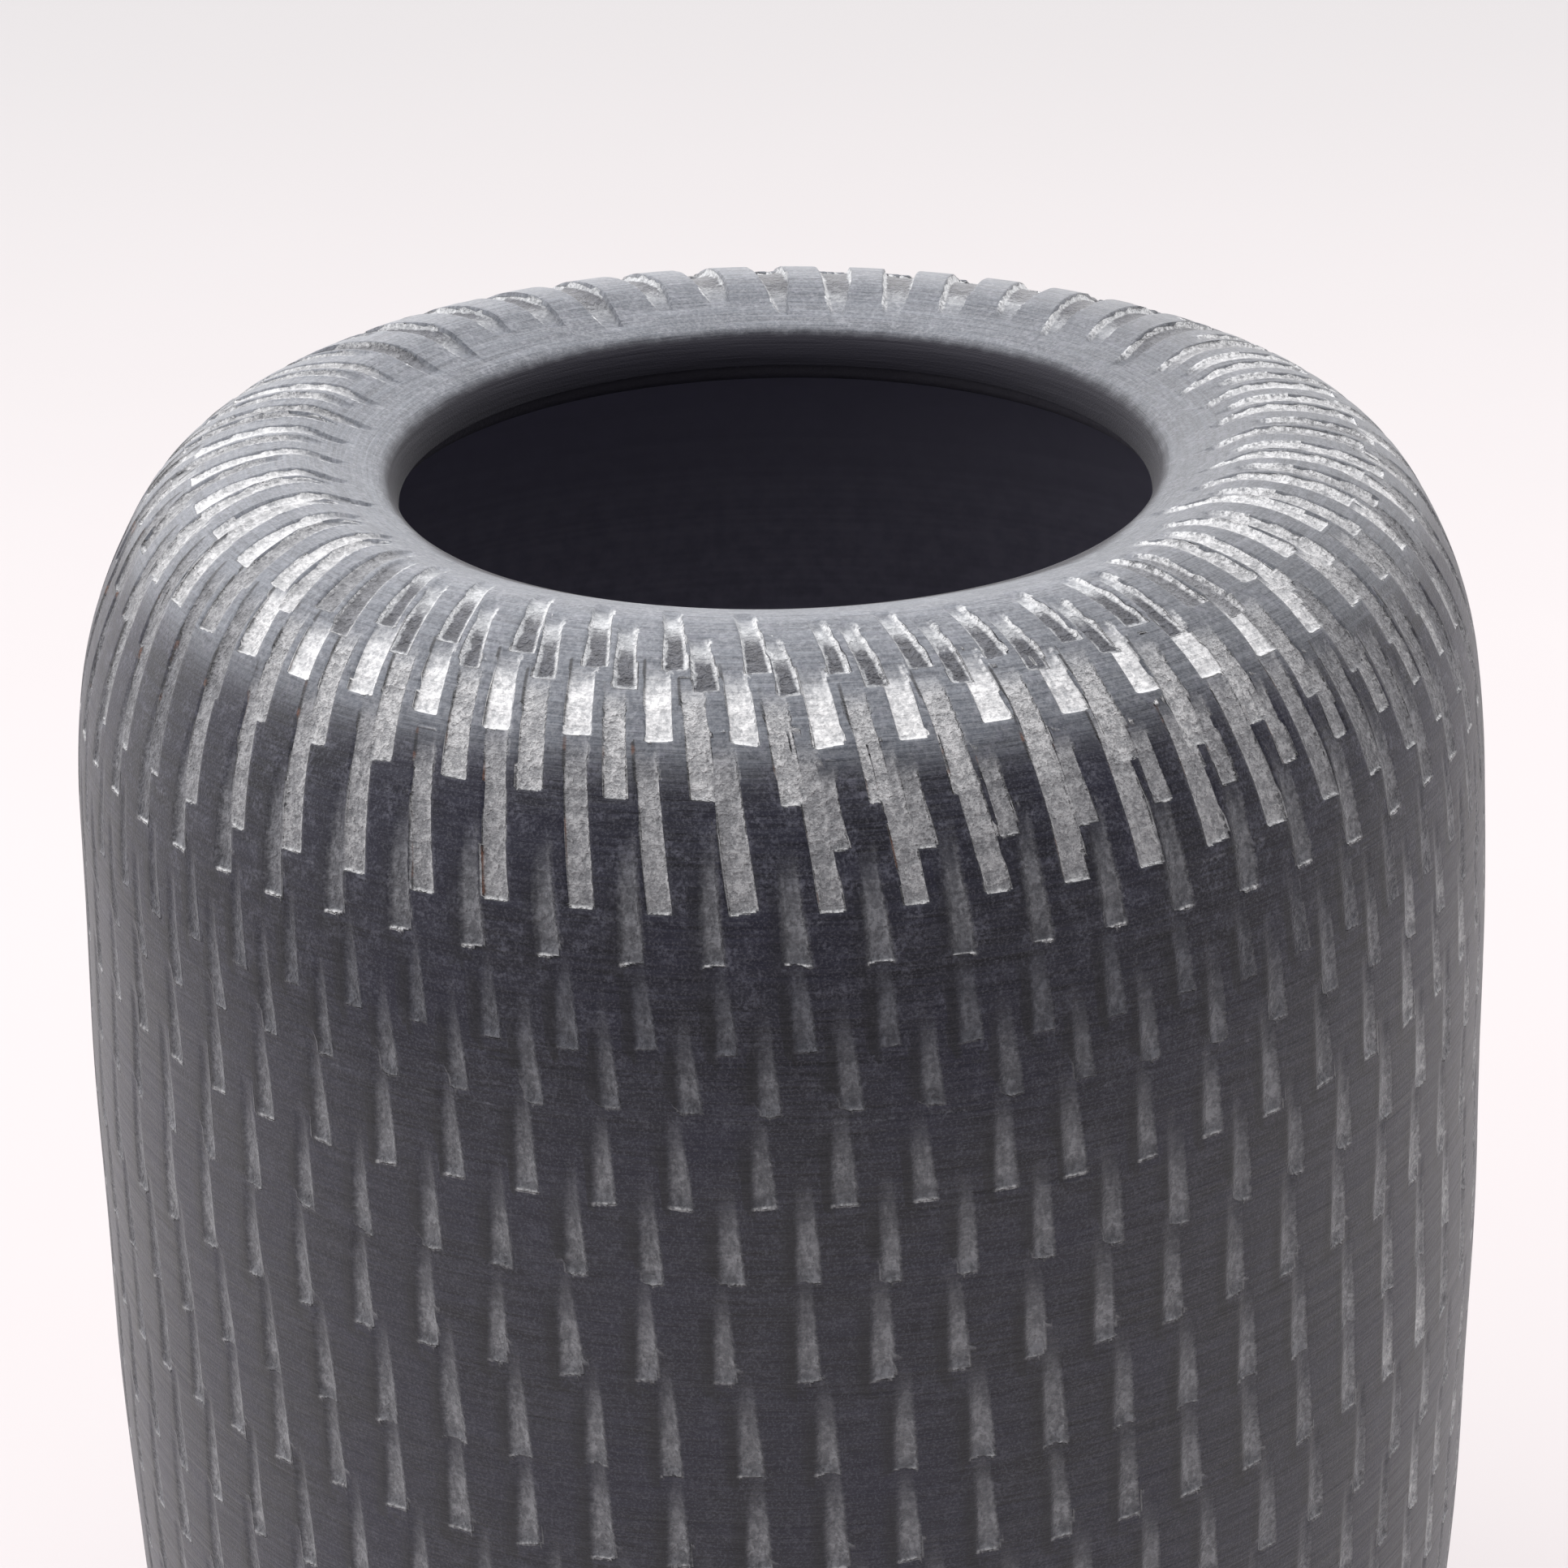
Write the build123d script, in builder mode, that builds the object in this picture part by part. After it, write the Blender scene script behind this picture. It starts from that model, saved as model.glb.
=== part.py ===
from build123d import *
import os
from math import cos, radians, sin

# Stoneware vase: a thrown clay wall, a carved slip coat over its outside and a thin liner glaze inside.
# Origin at the centre of the foot ring's resting plane, +Z up through the mouth. Millimetres.

# Outside form, over the slip coat. Each arc is (radius, sweep in degrees), tangent to the one before it,
# and both runs start from the belly, where the wall stands upright.
height = 250.0
belly_radius = 90.0
arcs_up = ((1590.0, 3.2), (120.0, 6.8), (48.0, 22.0), (22.5, 58.0))
arcs_down = ((700.0, 6.0), (110.0, 14.0), (30.0, 35.0))

# Lip: past its crest the shoulder turns in, slopes down to the mouth and ends in a rounded edge.
lip_crest = (15.0, 21.5)
lip_slope_length = 6.0
mouth_edge_radius = 5.0
lip_end_radius = 2.8

# Layers, from the outside in.
slip_thickness = 1.0
wall_thickness = 6.5
glaze_thickness = 0.6

# Foot and floor.
foot_recess_depth = 4.0
foot_ring_width = 8.0
foot_ring_rounding = 1.2
recess_rounding = 2.5
floor_thickness = 8.0

# Half the height of the band in which an edge counts as lying at a level.
edge_search_band = 0.01

# Worked-out values.
lip_angle = radians(lip_crest[1])
wall_face = slip_thickness + wall_thickness
glaze_face = wall_face + glaze_thickness
floor_height = foot_recess_depth + floor_thickness


def run_of(arcs, inset):
    """How far a run of arcs comes in towards the axis, and how far it goes along it."""
    inward = 0.0
    along = 0.0
    turned = 0.0
    for radius, sweep in arcs:
        start = radians(turned)
        turned += sweep
        end = radians(turned)
        inward += (radius - inset) * (cos(start) - cos(end))
        along += (radius - inset) * (sin(end) - sin(start))
    return inward, along


belly_height = height - run_of(arcs_up, 0)[1]


def draw_arcs(start, heading, arcs, inset, turn):
    """Draws tangent arcs one after another, turning left for 1 or right for -1, and returns the last."""
    for radius, sweep in arcs:
        edge = JernArc(start, heading, radius - inset, turn * sweep)
        start = edge @ 1
        heading = edge % 1
    return edge


def draw_top(inset, slope_length):
    """Draws the form from the belly over the crest and down the lip's slope, and returns the slope."""
    belly = (belly_radius - inset, belly_height)
    crest = draw_arcs(belly, (0, 1), (*arcs_up, lip_crest), inset, 1)
    return PolarLine(crest @ 1, slope_length, direction=crest % 1)


def draw_outside(inset):
    """Draws an outside face from the mouth to the foot, and returns its ends, mouth first."""
    slope = draw_top(inset, lip_slope_length)
    mouth = JernArc(slope @ 1, slope % 1, mouth_edge_radius - inset, 90 - lip_crest[1])
    belly = (belly_radius - inset, belly_height)
    bottom = draw_arcs(belly, (0, -1), arcs_down, inset, -1)
    return mouth @ 1, bottom @ 1


# The mouth's upright edge on the body stands this far from the axis, and the lip's underside runs in
# until its rounded end meets that edge.
crest_to_mouth = lip_slope_length * cos(lip_angle) + mouth_edge_radius * (1 - sin(lip_angle))
mouth_radius = (
    belly_radius - run_of(arcs_up, 0)[0] - lip_crest[0] * sin(lip_angle) - crest_to_mouth
)
body_mouth_radius = mouth_radius + slip_thickness
underside_start = (
    belly_radius
    - wall_face
    - run_of(arcs_up, wall_face)[0]
    - (lip_crest[0] - wall_face) * sin(lip_angle)
)
underside_length = (
    underside_start - body_mouth_radius - lip_end_radius * (1 + sin(lip_angle))
) / cos(lip_angle)


def draw_inside(inset, floor):
    """Draws an inside face from the axis at the floor to the lip's underside, and returns the underside."""
    side_arcs = arcs_down[:-1]
    turned = sum(sweep for _, sweep in side_arcs)
    side = draw_arcs((belly_radius - inset, belly_height), (0, -1), side_arcs, inset, -1)
    corner_radius = ((side @ 1).Y - floor) / (1 - sin(radians(turned)))
    corner = JernArc(side @ 1, side % 1, corner_radius, turned - 90)
    Line(corner @ 1, (0, floor))
    return draw_top(inset, underside_length)


def circles_at(part, level):
    """The part's circular edges that lie at this height."""
    rings = part.edges().filter_by(GeomType.CIRCLE)
    return rings.filter_by_position(Axis.Z, level - edge_search_band, level + edge_search_band)


# Stoneware body: thrown wall, floor, foot ring and rolled-in lip, in one piece of fired clay.
with BuildPart() as stoneware_body:
    with BuildSketch(Plane.XZ):
        with BuildLine():
            mouth_end, foot_top = draw_outside(slip_thickness)
            underside = draw_inside(wall_face, floor_height)
            lip_end = JernArc(underside @ 1, underside % 1, lip_end_radius, -(90 + lip_crest[1]))
            Line(lip_end @ 1, mouth_end)
            foot_radius = foot_top.X
            Polyline(
                foot_top,
                (foot_radius, 0),
                (foot_radius - foot_ring_width, 0),
                (foot_radius - foot_ring_width, foot_recess_depth),
                (0, foot_recess_depth),
                (0, floor_height),
            )
        make_face()
    revolve(axis=Axis.Z)
    fillet(circles_at(stoneware_body, 0), foot_ring_rounding)
    fillet(circles_at(stoneware_body, foot_recess_depth), recess_rounding)

# Slip coat: the layer of dark slip over the outside, from the mouth's edge to just above the foot ring.
# The carved tool marks lie within its thickness.
with BuildPart() as slip_coat:
    with BuildSketch(Plane.XZ):
        with BuildLine():
            outer_mouth, outer_foot = draw_outside(0)
            inner_mouth, inner_foot = draw_outside(slip_thickness)
            Line(outer_mouth, inner_mouth)
            Line(outer_foot, inner_foot)
        make_face()
    revolve(axis=Axis.Z)

# Liner glaze: a thin watertight coat over the floor, the inside of the wall and the lip's underside.
with BuildPart() as liner_glaze:
    with BuildSketch(Plane.XZ):
        with BuildLine():
            clay_side = draw_inside(wall_face, floor_height)
            water_side = draw_inside(glaze_face, floor_height + glaze_thickness)
            Line(clay_side @ 1, water_side @ 1)
            Line((0, floor_height), (0, floor_height + glaze_thickness))
        make_face()
    revolve(axis=Axis.Z)

stoneware_body.part.label = "stoneware_body"
slip_coat.part.label = "slip_coat"
liner_glaze.part.label = "liner_glaze"

os.makedirs("parts", exist_ok=True)
export_step(stoneware_body.part, "parts/stoneware_body.step")
export_step(slip_coat.part, "parts/slip_coat.step")
export_step(liner_glaze.part, "parts/liner_glaze.step")
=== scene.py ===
import math

import bpy
import numpy as np
from mathutils import Matrix, Vector


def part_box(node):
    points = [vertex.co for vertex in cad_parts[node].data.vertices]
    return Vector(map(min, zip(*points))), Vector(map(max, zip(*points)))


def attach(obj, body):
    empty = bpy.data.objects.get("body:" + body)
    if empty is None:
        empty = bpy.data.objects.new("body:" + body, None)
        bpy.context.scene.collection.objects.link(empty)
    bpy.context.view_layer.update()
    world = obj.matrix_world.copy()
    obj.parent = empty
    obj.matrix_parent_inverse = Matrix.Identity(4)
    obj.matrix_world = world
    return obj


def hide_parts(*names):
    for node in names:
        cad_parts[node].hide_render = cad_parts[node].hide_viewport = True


# Looks of the stoneware vase. The packed clay and glaze stay as they are and get their materials, and a
# carved mesh stands in for the smooth slip coat. The front is towards -Y, and angle 0 faces it.
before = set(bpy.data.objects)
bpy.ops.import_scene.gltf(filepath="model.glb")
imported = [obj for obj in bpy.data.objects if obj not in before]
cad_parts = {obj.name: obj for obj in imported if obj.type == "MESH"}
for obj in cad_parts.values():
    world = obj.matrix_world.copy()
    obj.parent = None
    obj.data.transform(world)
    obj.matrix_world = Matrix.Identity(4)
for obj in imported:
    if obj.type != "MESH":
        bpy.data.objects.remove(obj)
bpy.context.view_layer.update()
SLIP_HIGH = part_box("slip_coat")[1]
MM = 0.001

# Outside form from the mouth's edge to the foot, in millimetres: (radius, sweep in degrees), every arc
# turning the same way. A stretch with no radius is straight, and its second value is its length.
MOUTH_EDGE = (5.0, 68.5)
LIP_SLOPE = (None, 6.0)
LIP_CREST = (15.0, 21.5)
SHOULDER = ((22.5, 58.0), (48.0, 22.0), (120.0, 6.8))
SIDE = ((1590.0, 3.2), (700.0, 6.0))
BASE = ((110.0, 14.0), (30.0, 35.0))
OUTSIDE = (MOUTH_EDGE, LIP_SLOPE, LIP_CREST, *SHOULDER, *SIDE, *BASE)
BELLY_RADIUS = SLIP_HIGH.x / MM
CREST_HEIGHT = SLIP_HIGH.z / MM
SLIP_THICKNESS = 1.0

# Carving, in millimetres. Stations are measured along the outside form from the mouth's edge.
SEED = 41
ROW_STEP = 12.4
LAST_ROW_STATION = 262.0
GOLDEN_ANGLE = 137.5
DEEPEST_CUT = 0.85 * SLIP_THICKNESS
WALL_SHADE_WIDTH = 0.3
MARK_CORNER = 0.40
GUIDE_RINGS = (55.6, 78.3)
# LEFT_DIMMING: the share by which the painted light on the soft marks' floors dims on the vase's left.
LEFT_DIMMING = 0.5

# The burr pushed up just outside a mark's outline, in millimetres: its height at a crisp edge, what a
# rim adds to it, how far out it stands and how wide it is.
BURR_HEIGHT = 0.03
RIM_HEIGHT = 0.10
BURR_PLACE = 0.14
BURR_WIDTH = 0.22

# A mark's slow sideways wander: its size in millimetres and its rate in radians per millimetre.
WANDER_SIZE = 0.05
WANDER_RATE = 0.45

# Marks' hand-made differences, as standard deviations: millimetres for where a mark stands and ends,
# shares of its own size for its length, width, depth and lightness, and slopes for its lean and slant.
SPREAD = {
    "shift": 0.14, "end": 0.20, "length": 0.06, "width": 0.05, "depth": 0.08, "light": 0.18,
    "lean": 0.015, "slant": 0.06,
}
USUAL_SLANT = -0.03
LEVEL_WOBBLE = 0.30

# Where the marks change on their way round, in degrees away from the front: (none, full).
FRONT_LOOK = (58, 36)
FRONT_LENGTH = (62, 12)
FRONT_LIP = (80, 10)
BACK_LOOK = (115, 135)

# Hand-made unevenness of the form, in millimetres.
THROWING_WOBBLE = 0.16
THROWING_RIDGE = 0.10
CREST_SWELL = 0.45
FRONT_DIP = 0.9

# Wear, in metres above the resting plane: the rubbed foot and the glaze thinned towards the lip.
FOOT_WEAR_HEIGHT = 0.0022
GLAZE_WEAR_START = 0.225

# Floor, in metres: its radius, the hole that the foot ring covers, and its gap below the foot.
FLOOR_SEGMENTS = 96
FLOOR_RADIUS = 5.0
FLOOR_OPENING = 0.0672
FLOOR_GAP = 0.0002

# Mesh steps, and the station where the leaning columns stand at their own angle. Millimetres.
COLUMN_WIDTH = 0.32
LINE_STEP = 1.1
SMALLEST_LINE_STEP = 0.1
LINES_NEAR_END = (-1.3, -0.75, -0.42, -0.22, -0.07, 0.08, 0.26, 0.6)
BEND_REACH = (1.0, 3.0)
INNER_RINGS = 120
UNTWISTED_STATION = 60.0
SHARP_EDGE = math.radians(60)

# What the material reads where there is no mark: (distance to a mark, place along it, pit start),
# millimetres in from its (left, right, end) edges, (tone, lightness, rim) and (tip, softness, crumbly
# floor with painted wall shade).
NO_MARK = {"cut": (3.0, 0.0, 0.0), "edge": (0.0,) * 3, "look": (0.0,) * 3, "line": (0.0,) * 3}

# Texture layout, in shares of the square: the outside's front and back halves, one above the other, and
# thin bands for the inner face and the two ends.
SIDE_MARGIN = 0.002
HALF_BOTTOMS = (0.005, 0.475)
HALF_HEIGHT = 0.455
INNER_BAND = (0.955, 0.985)
TOP_BAND = (0.990, 0.992)
BOTTOM_BAND = (0.995, 0.997)

# Soft lights of the surroundings: (direction, where the ramp starts and ends, dimmest, brightest). The
# camera sees a plain background of its own strength past the floor.
WORLD_LIGHTS = (
    ((-0.45, 0.80, 0.1), -0.9, 0.5, 0.16, 1.55),
    ((-0.50, 0.75, 0.50), 0.40, 0.95, 0.0, 0.65),
    ((0.0, 0.0, 1.0), 0.4, 1.0, 0.0, 1.3),
)
LIGHT_COLOUR = (1.0, 0.985, 0.985, 1.0)
SEEN_BACKGROUND = 0.92

# Camera: its place in belly radii from the middle of the crest's plane, and its lens and angles.
CAMERA_PLACE = (0.0034, -4.735, 1.670)
CAMERA_LENS = 84.9
CAMERA_PITCH = 24.99
CAMERA_ROLL = -1.18


def form_pieces():
    """The outside form's stretches: start station, r, z and heading, and turn per millimetre."""
    pieces = []
    station, r, z, heading = 0.0, 0.0, 0.0, math.pi / 2
    for radius, amount in OUTSIDE:
        turn = 0.0 if radius is None else 1.0 / radius
        length = amount if radius is None else radius * math.radians(amount)
        pieces.append((station, r, z, heading, turn))
        after = heading - turn * length
        if turn:
            r += (math.sin(heading) - math.sin(after)) / turn
            z += (math.cos(after) - math.cos(heading)) / turn
        else:
            r += length * math.cos(heading)
            z += length * math.sin(heading)
        heading = after
        station += length
    return np.array(pieces), station


FORM, FORM_LENGTH = form_pieces()


def outside(station, inset=0.0):
    """Points r, z of the outside form at these stations, and its outward normal there. Millimetres."""
    which = np.clip(np.searchsorted(FORM[:, 0], station, side="right") - 1, 0, len(FORM) - 1)
    start, r, z, heading, turn = np.moveaxis(FORM[which], -1, 0)
    gone = station - start
    angle = heading - turn * gone
    safe = np.where(turn == 0, 1.0, turn)
    r = r + np.where(turn == 0, gone * np.cos(heading), (np.sin(heading) - np.sin(angle)) / safe)
    z = z + np.where(turn == 0, gone * np.sin(heading), (np.cos(angle) - np.cos(heading)) / safe)
    normal_r = -np.sin(angle)
    normal_z = np.cos(angle)
    return r - inset * normal_r, z - inset * normal_z, normal_r, normal_z


def place_form():
    """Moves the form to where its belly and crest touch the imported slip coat's box."""
    r, z, _, _ = outside(np.linspace(0, FORM_LENGTH, 4000))
    FORM[:, 1] += BELLY_RADIUS - r.max()
    FORM[:, 2] += CREST_HEIGHT - z.max()


place_form()


class Row:
    """One ring of tool marks: where the marks end, how many go round, and their usual shape.

    Lengths are millimetres. The values in shape are lean and bend (sideways drift along the mark and
    at its start), taper (how much narrower the start is), rounding (a flat or a trough-like floor),
    rise (how the floor climbs to the start), rim and tip (the burr raised round the mark, with painted
    highlight along its sides and its end), soft (soft or crisp edges), crack (a crumbly floor with
    painted shade along the wall at its left), crowding (how much closer the marks stand at the front)
    and span (the only degrees that have marks). light_behind, front_length and back say how the marks
    differ away from the front, at the front and at the back; the lightness there is partly painted
    light.
    """

    def __init__(self, end, length, count, first_degrees, width, depth, light, **shape):
        self.end = end
        self.length = length
        self.count = count
        self.first = math.radians(first_degrees)
        self.width = width
        self.depth = depth
        self.light = light
        self.lean = shape.get("lean", 0.035)
        self.taper = shape.get("taper", 0.36)
        self.bend = shape.get("bend", 0.0)
        self.rounding = shape.get("rounding", 1.0)
        self.rise = shape.get("rise", 0.55)
        self.rim = shape.get("rim", 0.0)
        self.tip = shape.get("tip", 0.35)
        self.soft = shape.get("soft", 1.0)
        self.crumbly_shade = shape.get("crumbly_shade", 0.0)
        self.crowding = shape.get("crowding", 0.0)
        self.span = shape.get("span")
        self.light_behind = shape.get("light_behind", light)
        self.front_length = shape.get("front_length", length)
        self.back = shape.get("back", {})


def mark_rows():
    """The rings of tool marks, from the mouth down. Below the shoulder they settle to an even step."""
    # Shapes that rings share. `pits` and `hidden` say how the first two rings look at the back.
    crest = {
        "soft": 0.0, "lean": 0.15, "bend": 0.5, "taper": 0.30, "rounding": 0.35, "rise": 0.15,
        "crowding": 0.09, "tip": 0.8,
    }
    pits = {"width": 5.4, "length": 20.0, "light": 0.0, "depth": 1.2, "lower": 1.6}
    hidden = {"width": 3.1, "length": 6.0, "light": 0.3, "depth": 0.5}
    first = {**crest, "rim": 1.0, "light_behind": 0.66, "front_length": 10.0, "back": pits}
    second = {**crest, "rim": 0.9, "light_behind": 0.56, "front_length": 9.0, "back": hidden}
    flat = {"soft": 0.0, "lean": 0.14, "taper": 0.12, "rounding": 0.15, "rise": 0.50, "crumbly_shade": 1.0}
    faint = {"taper": 0.35, "rounding": 0.7, "lean": 0.09, "soft": 0.6, "light_behind": 0.32}
    lower = {"light_behind": 0.40}
    # Each ring: end station, length, count, first mark's angle, width, depth, lightness (partly painted
    # light).
    rows = [
        Row(28.5, 19.0, 47, -2.0, 3.0, 0.62, 0.0, **first),
        Row(31.2, 18.0, 47, 1.3, 2.9, 0.55, 0.0, **second),
        Row(37.0, 9.5, 54, 4.0, 3.3, 0.65, 1.0, rim=0.8, tip=1.0, light_behind=0.58, **flat),
        Row(43.1, 13.5, 55, 0.9, 3.0, 0.42, 0.52, rim=0.1, tip=0.1, light_behind=0.30, **flat),
        Row(49.1, 10.0, 57, 4.0, 2.5, 0.34, 0.36, rim=0.1, tip=0.5, span=(2.0, 78.0), **flat),
        Row(54.8, 18.5, 60, 3.4, 3.0, 0.50, 0.40, rim=0.2, tip=0.8, light_behind=0.26, **flat),
        Row(60.6, 15.0, 62, 0.9, 3.0, 0.45, 0.20, rim=0.05, tip=0.9, **faint),
        Row(70.6, 12.0, 64, 1.5, 2.9, 0.32, 0.12, tip=0.05, lean=0.08, light_behind=0.26),
        Row(77.5, 13.5, 64, -1.2, 3.0, 0.38, 0.18, tip=0.12, lean=0.08, light_behind=0.30),
        Row(88.2, 13.0, 64, -1.8, 3.2, 0.45, 0.24, tip=0.45, lean=0.06, **lower),
        Row(97.9, 13.5, 65, 1.3, 3.2, 0.45, 0.24, tip=0.2, **lower),
        Row(110.4, 14.5, 65, 0.8, 3.3, 0.45, 0.26, tip=0.2, **lower),
        Row(122.3, 14.5, 65, 2.3, 3.3, 0.45, 0.26, tip=0.4, **lower),
        Row(134.3, 14.5, 65, 2.7, 3.3, 0.45, 0.26, **lower),
    ]
    belly_count = rows[-1].count
    station = rows[-1].end + ROW_STEP
    turn = 0.0
    while station < LAST_ROW_STATION:
        count = round(belly_count * outside(np.array([station]))[0][0] / BELLY_RADIUS)
        turn += GOLDEN_ANGLE
        rows.append(Row(station, 14.5, count, turn % (360.0 / count), 3.3, 0.45, 0.26, **lower))
        station += ROW_STEP
    return rows


def smooth(low, high, value):
    """0 below low, 1 above high and a smooth step between them."""
    t = np.clip((value - low) / (high - low), 0.0, 1.0)
    return t * t * (3 - 2 * t)


def facing(angle, none, full):
    """0 to 1: how far an angle has come from `none` to `full`, in degrees away from the front."""
    return smooth(math.cos(math.radians(none)), math.cos(math.radians(full)), np.cos(angle))


def waves(angle, rng, orders, size):
    """A smooth closed wobble round the vase, as a sum of sine waves."""
    total = np.zeros_like(angle)
    for order in orders:
        height = rng.normal()
        total += height * np.sin(order * angle + rng.uniform(0, 2 * math.pi)) / math.sqrt(len(orders))
    return size * total


class Marks:
    """One row's marks with their hand-made differences."""

    def __init__(self, row, rng):
        self.row = row
        n = row.count
        around = row.first + 2 * math.pi * np.arange(n) / n
        front = facing(around, *FRONT_LOOK)
        back = facing(around, *BACK_LOOK)
        on_left = smooth(-0.2, -0.9, np.sin(around))
        self.shift = rng.normal(0, SPREAD["shift"], n)
        self.end = rng.normal(0, SPREAD["end"], n) + row.back.get("lower", 0.0) * back
        length = row.length + (row.front_length - row.length) * facing(around, *FRONT_LENGTH)
        length = length + (row.back.get("length", row.length) - length) * back
        width = row.width + (row.back.get("width", row.width) - row.width) * back
        self.length = length * (1 + rng.normal(0, SPREAD["length"], n))
        self.width = width * (1 + rng.normal(0, SPREAD["width"], n))
        depth = row.depth + (row.back.get("depth", row.depth) - row.depth) * back
        self.depth = depth * (1 + rng.normal(0, SPREAD["depth"], n))
        self.pit = 0.30 - 0.20 * back
        self.lean = row.lean + rng.normal(0.0, SPREAD["lean"], n)
        self.slant = rng.normal(USUAL_SLANT, SPREAD["slant"], n)
        self.tone = rng.uniform(0, 1, n)
        self.phase = rng.uniform(0, 2 * math.pi, n)
        # The floors' lightness is partly the cut clay's paler tone and partly painted light: it changes
        # round the vase with the light, and it dims on the vase's left.
        behind = row.light_behind * (1 + rng.normal(0, SPREAD["light"], n))
        behind = behind * (1 - LEFT_DIMMING * row.soft * on_left)
        behind = behind + (row.back.get("light", row.light_behind) - behind) * back
        self.light = behind + (row.light - behind) * front
        self.wobble_seed = rng.integers(1 << 30)

    def which(self, angle):
        """The mark nearest to each angle, and how far past its middle the angle is, in radians."""
        pitch = 2 * math.pi / self.row.count
        crowding = self.row.crowding
        place = (angle - self.row.first + crowding * np.sin(angle)) / pitch
        nearest = np.round(place)
        stretch = 1 + crowding * np.cos(angle)
        return nearest.astype(int) % self.row.count, (place - nearest) * pitch / stretch

    def level(self, angle):
        """How far the marks' ends lie below the row's station at each angle."""
        index, _ = self.which(angle)
        rng = np.random.default_rng(self.wobble_seed)
        wobble = waves(angle, rng, (1, 2, 3, 5), LEVEL_WOBBLE)
        return self.end[index] + wobble


def field_of(marks, station, angle, r):
    """One row's marks over these points: signed distance to their outlines, their depth, and the
    values that the material reads, as in NO_MARK. A mark runs from 0 at its start to 1 at its end."""
    row = marks.row
    index, offset = marks.which(angle)
    above_end = row.end + marks.level(angle) - station
    length = marks.length[index]
    share = np.clip(above_end / length, 0.0, 1.0)
    wander = WANDER_SIZE * np.sin(WANDER_RATE * above_end + marks.phase[index])
    across = offset * r + marks.shift[index] + marks.lean[index] * above_end
    across = across + row.bend * share**2 + wander
    above_end = above_end + marks.slant[index] * across
    half = 0.5 * marks.width[index] * (1 - row.taper * share)
    box_x = np.abs(across) - half + MARK_CORNER
    box_y = np.maximum(-above_end, above_end - length) + MARK_CORNER
    distance = np.minimum(np.maximum(box_x, box_y), 0.0)
    distance = distance + np.hypot(np.maximum(box_x, 0.0), np.maximum(box_y, 0.0)) - MARK_CORNER
    side = np.clip(across / half, -1.0, 1.0)
    section = 1 - row.rounding * 0.8 * side**2
    lift = 1 - 0.25 * row.rounding * smooth(2.4, 0.0, above_end)
    depth = marks.depth[index] * (1 - share) ** row.rise * section * lift
    if row.span is not None:
        low, high = (math.radians(d) for d in row.span)
        past_span = np.maximum(low - angle, angle - high) * r
        distance = np.where(past_span > 0, NO_MARK["cut"][0], distance)
    even = np.ones_like(distance)
    values = {
        "cut": np.stack([distance, 1 - share, marks.pit[index]], axis=-1),
        "edge": np.stack([half + across, half - across, above_end], axis=-1),
        "look": np.stack([marks.tone[index], marks.light[index], row.rim * even], axis=-1),
        "line": np.stack([row.tip * even, row.soft * even, row.crumbly_shade * even], axis=-1),
    }
    return distance, depth, values


def line_stations(rows):
    """Stations of the mesh's rings: close together at every row's end, and evenly spread between."""
    fixed = [0.0, 0.6, FORM_LENGTH]
    for row in rows:
        fixed += [row.end + step for step in LINES_NEAR_END]
    fixed = sorted(fixed)
    kept = [fixed[0]]
    for station in fixed[1:]:
        gap = station - kept[-1]
        if gap < SMALLEST_LINE_STEP:
            continue
        extra = int(gap / LINE_STEP)
        for _ in range(extra):
            kept.append(kept[-1] + gap / (extra + 1))
        kept.append(station)
    kept[-1] = FORM_LENGTH
    return np.array(kept)


def surface_grid(rows, all_marks):
    """Stations and angles of the outside face's points, and its rings' stations before they bend to
    follow the marks' ends. The columns lean as the marks do."""
    columns = int(round(2 * math.pi * BELLY_RADIUS / COLUMN_WIDTH))
    angle = -math.pi + 2 * math.pi * np.arange(columns) / columns
    base = line_stations(rows)
    lean = np.interp(base, [row.end for row in rows], [row.lean for row in rows])
    twist = np.concatenate([[0.0], np.cumsum(np.diff(base) * lean[1:] / outside(base[1:])[0])])
    twist = twist - np.interp(UNTWISTED_STATION, base, twist)
    angles = (angle[None, :] + twist[:, None] + math.pi) % (2 * math.pi) - math.pi
    station = np.repeat(base[:, None], columns, axis=1)
    for marks in all_marks:
        reach = 1.0 - smooth(*BEND_REACH, np.abs(base - marks.row.end))
        near = reach > 0
        station[near] += reach[near][:, None] * marks.level(angles[near])
    station = np.maximum.accumulate(station, axis=0)
    return np.clip(station, 0.0, FORM_LENGTH), angles, base


def carve_row(marks, base, station, angles, r, height, stored):
    """Cuts one row's marks into height, and stores what the material reads where they lie on top."""
    row = marks.row
    # Only the mesh's rings that the row's longest marks can reach.
    near = (base > row.end - row.length * 1.3 - 3) & (base < row.end + 4)
    block = np.ix_(near, np.arange(station.shape[1]))
    distance, depth, values = field_of(marks, station[block], angles[block], r[block])
    along = values["cut"][..., 1]
    wall = smooth(-0.05, 0.36 + 0.5 * row.soft, -distance)
    dug = -depth * wall
    burr = BURR_HEIGHT * (1 - row.soft) + RIM_HEIGHT * row.rim
    ridge = np.exp(-((distance - BURR_PLACE) / BURR_WIDTH) ** 2)
    burr = burr * ridge * (distance > 0) * smooth(0.05, 0.5, along)
    before = height[block]
    closest = stored["cut"][block][..., 0]
    on_top = (dug < before - 0.02) | ((distance < closest) & (before > -0.03))
    # Near a crumbly mark's left edge its own values lie on top, so that its painted wall shade shows.
    if row.crumbly_shade:
        at_left = values["edge"][..., 0] < WALL_SHADE_WIDTH
        on_top |= (distance < 0) & at_left & (dug < before + WALL_SHADE_WIDTH)
    height[block] = np.minimum(before, dug) + burr * smooth(-0.05, 0.0, before)
    for name, new in values.items():
        stored[name][block] = np.where(on_top[..., None], new, stored[name][block])


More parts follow.
